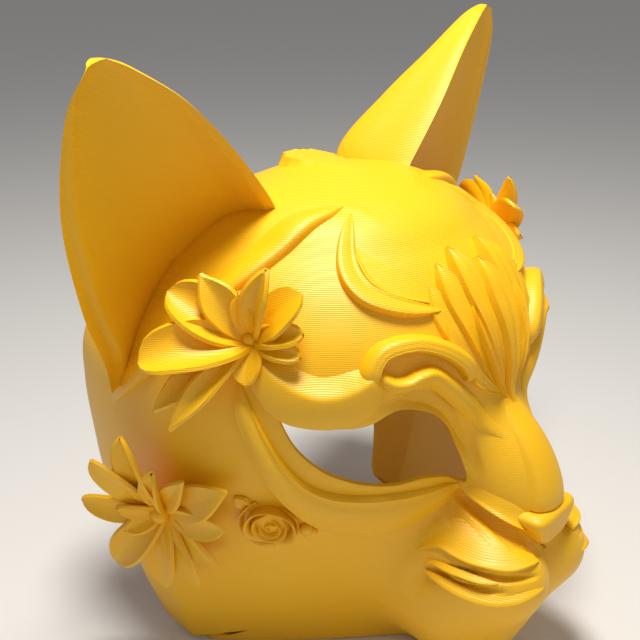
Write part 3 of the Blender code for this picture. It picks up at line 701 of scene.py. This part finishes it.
# Forehead leaves from the lowest layer up: bearing and elevation of the tip, half width and rise
CREST_LEAVES = ((-20, 45.4, 7.5, 1.8), (-18, 39, 6.5, 2), (-16, 32.6, 5.6, 2.2),
                (-15, 49.4, 7.5, 3.6), (-8, 52, 7.6, 5.2), (-9.5, 41, 5, 5.6))
CREST_MIDDLE = (0, 48, 8.5, 7)
BLADE_PROFILE = ((-1, -0.2), (-0.95, 0.5), (-0.86, 0.86), (-0.4, 0.9), (-0.06, 1), (0.06, 0.9), (0.6, 0.84),
                 (0.92, 0.74), (1, -0.2))
BLADE_SHAPE = ((0, 0.12, 0.05), (0.25, 0.5, 0.8), (0.5, 0.8, 1), (0.72, 1, 1), (0.88, 0.75, 0.9),
               (1, 0.05, 0.5))


def crest_leaf(mould, bearing, elevation, width, rise):
    """One blade of the forehead fan, from its root on the bridge to its tip."""
    tip = np.array([bearing, elevation], dtype=float)
    root = np.array([bearing * 0.1, 15 + 0.2 * abs(bearing)])
    rows = []
    for share, wide, high in BLADE_SHAPE:
        middle = root + (tip - root) * share
        middle[0] += 0.16 * bearing * np.sin(np.pi * share)
        rows.append((middle[0], middle[1], width * wide, width * wide, rise * high))
    relief_strip(mould, rows, BLADE_PROFILE, steps=40, columns=17)


def crest_piece():
    """Pointed leaves in layers, fanning up from the top of the nose bridge."""
    mould = Mould()
    for bearing, elevation, width, rise in CREST_LEAVES:
        crest_leaf(mould, bearing, elevation, width, rise)
        crest_leaf(mould, -bearing, elevation, width, rise)
    crest_leaf(mould, *CREST_MIDDLE)
    mould.piece("forehead_crest_looks", "forehead_crest", ("forehead_crest",))


# Ear edges from base to tip: side, distance behind the widest line and height as shares of the
# ear's reach, depth and height
EAR_SIZES = np.array([0.156, 0.050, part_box("ear_right")[1][2]])
EAR_INNER_EDGE = ((0.27, -0.40, 0.64), (0.30, -0.44, 0.70), (0.333, -0.56, 0.752), (0.494, -0.60, 0.849),
                  (0.654, -0.54, 0.931), (0.80, -0.44, 0.98), (0.875, -0.38, 0.998))
EAR_OUTER_EDGE = ((0.79, 0.30, 0.49), (0.81, 0.24, 0.52), (0.853, 0.10, 0.56), (0.936, 0.0, 0.66),
                  (0.994, -0.10, 0.80), (0.985, -0.26, 0.93), (0.925, -0.35, 0.99))
EAR_BACK_RIDGE = ((0.33, 0.38, 0.60), (0.36, 0.40, 0.66), (0.40, 0.46, 0.74), (0.545, 0.22, 0.822),
                  (0.69, -0.04, 0.9), (0.83, -0.22, 0.97), (0.90, -0.32, 0.995))
EAR_LIP = 3.5 * MM
# Across the dish from the inner edge to the outer: how far it sinks towards the back ridge
DISH = ((0, 0), (0.02, 0.02), (0.04, 0.03), (0.08, 0.1), (0.2, 0.3), (0.4, 0.42), (0.6, 0.42), (0.78, 0.3),
        (0.88, 0.14), (0.91, 0.05), (0.92, 0.03), (0.935, 0.06), (0.97, 0.06), (1, 0))
BACK = ((0, 0), (0.04, 0.13), (0.15, 0.45), (0.27, 0.8), (0.34, 0.95), (0.4, 0.9), (0.6, 0.6), (0.8, 0.3),
        (0.95, 0.1), (1, 0))


def settle(points):
    """Points deep in the form come up to just under its surface."""
    depth = form_field(points)
    deep = depth < -1.0 * MM
    settled = points.copy()
    if deep.any():
        surface = project(points[deep])
        settled[deep] = surface - form_normals(surface) * MM
    return settled


def ear_pieces():
    rows, columns = 60, 45
    across = np.linspace(0, 1, columns)
    inner, outer, ridge = (along(np.array(edge) * EAR_SIZES, rows)
                           for edge in (EAR_INNER_EDGE, EAR_OUTER_EDGE, EAR_BACK_RIDGE))
    bulge = ridge - (inner + outer) / 2
    lip = EAR_LIP * unit(bulge)
    sink = smooth_curve(across, *np.array(DISH).T)
    swell = smooth_curve(across, *np.array(BACK).T)
    flat = inner[:, None] + (outer - inner)[:, None] * across[None, :, None]
    front = flat + bulge[:, None] * sink[None, :, None]
    rounding = np.sin(np.pi * across) ** 0.5
    back = flat + bulge[:, None] * swell[None, :, None] + lip[:, None] * rounding[None, :, None]
    shift = np.array([0, WIDEST_Y, 0])
    front = (front + shift) * np.array([-1, 1, 1])
    back = (back + shift) * np.array([-1, 1, 1])
    front = settle(front.reshape(-1, 3)).reshape(front.shape)
    back = settle(back.reshape(-1, 3)).reshape(back.shape)
    for side, flip in (("right", False), ("left", True)):
        mould = Mould()
        mould.slab(front, back)
        relief_strip(mould, EAR_PLINTH, LEDGE_PROFILE)
        mould.piece("ear_" + side + "_looks", "ear", ("ear_" + side,), flip)


def nose_piece():
    """A rounded bar with a flat top that narrows downwards."""
    low, high = (np.array(corner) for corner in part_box("nose_pad"))
    width, depth, height = high - low
    middle = (low + high) / 2 + np.array([0, 0, 3 * MM])
    height = 1.15 * height
    rows, columns = 41, 48
    side = np.sin(np.linspace(-np.pi / 2, np.pi / 2, rows))
    around = np.linspace(0, 2 * np.pi, columns, endpoint=False)
    points = []
    for share in side:
        end = (1 - abs(share) ** 5) ** (1 / 3)
        y = np.sign(np.cos(around)) * np.abs(np.cos(around)) ** 0.45 * depth / 2 * (0.45 + 0.55 * end)
        z = np.sign(np.sin(around)) * np.abs(np.sin(around)) ** 0.45 * height / 2 * (0.3 + 0.7 * end)
        narrow = 1 - 0.5 * np.clip(0.5 - z / height, 0, 1) ** 1.3
        x = np.full(columns, share * width / 2) * narrow
        points.append(middle + np.stack([x, y + 0.12 * (height / 2 - z), z], axis=-1))
    points = np.concatenate(points)
    faces = [tuple(range(columns)), tuple(range(len(points) - columns, len(points)))]
    for i in range(rows - 1):
        for j in range(columns):
            k = (j + 1) % columns
            faces.append((i * columns + j, i * columns + k, (i + 1) * columns + k, (i + 1) * columns + j))
    return make_piece("nose_bar_looks", points, faces, ("nose_pad",), sharp=60)


def face_folds():
    """Folds of the whisker pads, wings of the nose and the flat top of its bridge."""
    for side, flip in (("right", False), ("left", True)):
        mould = Mould()
        for rows in PAD_LIPS:
            relief_strip(mould, rows, LEDGE_PROFILE)
        relief_strip(mould, WING, LEDGE_PROFILE)
        relief_strip(mould, INNER_LEAF, LEDGE_PROFILE)
        mould.piece("folds_" + side, "mask_shell", (), flip)
    mould = Mould()
    relief_strip(mould, BRIDGE, BAR_PROFILE)
    mould.piece("bridge_top", "mask_shell", ())


def setup_view():
    camera = bpy.data.cameras.new("camera")
    camera.lens = 56.25
    camera.sensor_width = 36
    item = bpy.data.objects.new("camera", camera)
    item.location = VIEW_PLACE
    item.rotation_euler = (radians(VIEW_TILT), 0, radians(VIEW_TURN))
    bpy.context.scene.collection.objects.link(item)
    bpy.context.scene.camera = item


def area_light(name, place, target, size, power, colour):
    light = bpy.data.lights.new(name, "AREA")
    light.size = size
    light.energy = power
    light.color = colour
    item = bpy.data.objects.new(name, light)
    item.location = place
    item.rotation_euler = (Vector(target) - Vector(place)).to_track_quat("-Z", "Y").to_euler()
    bpy.context.scene.collection.objects.link(item)


def setup_light():
    world = bpy.data.worlds.new("world")
    world.use_nodes = True
    background = world.node_tree.nodes["Background"]
    background.inputs["Color"].default_value = (0.9, 0.9, 0.92, 1)
    background.inputs["Strength"].default_value = 0.28
    bpy.context.scene.world = world
    bpy.context.scene.view_settings.view_transform = "Standard"
    area_light("key", (-0.1, -0.05, 1.0), (0, 0, 0.15), 0.25, 10, (1, 0.98, 0.94))
    area_light("fill", (-0.5, -1.1, 0.6), (0, 0, 0.12), 0.8, 1.2, (1, 0.98, 0.95))
    bm = bmesh.new()
    bmesh.ops.create_grid(bm, x_segments=1, y_segments=1, size=12)
    mesh = bpy.data.meshes.new("floor")
    bm.to_mesh(mesh)
    bm.free()
    floor = bpy.data.objects.new("floor", mesh)
    floor.location = (0, 0, -0.0005)
    bpy.context.scene.collection.objects.link(floor)
    material = bpy.data.materials.new("floor")
    material.use_nodes = True
    shader = material.node_tree.nodes["Principled BSDF"]
    shader.inputs["Base Color"].default_value = (0.75, 0.73, 0.7, 1)
    shader.inputs["Roughness"].default_value = 0.8
    mesh.materials.append(material)


yellow = yellow_plastic()
setup_view()
setup_light()
shell_piece()
strip_pieces("brow_scroll", ((BROW, BROW_PROFILE), (SCROLL, RIBBON_PROFILE), (FOLD, LIP_PROFILE)))
strip_pieces("lid_leaf", ((LID, LEAF_PROFILE),))
strip_pieces("forehead_crescent", ((CRESCENT, CRESCENT_PROFILE),))
crest_piece()
flower_pieces("temple_lily", LILY_PLACE, LILY_PETALS, LILY_REACH, 0.0035)
flower_pieces("cheek_flower", FLOWER_PLACE, FLOWER_PETALS, FLOWER_REACH, 0.005)
rose_pieces()
ear_pieces()
nose_piece()
face_folds()
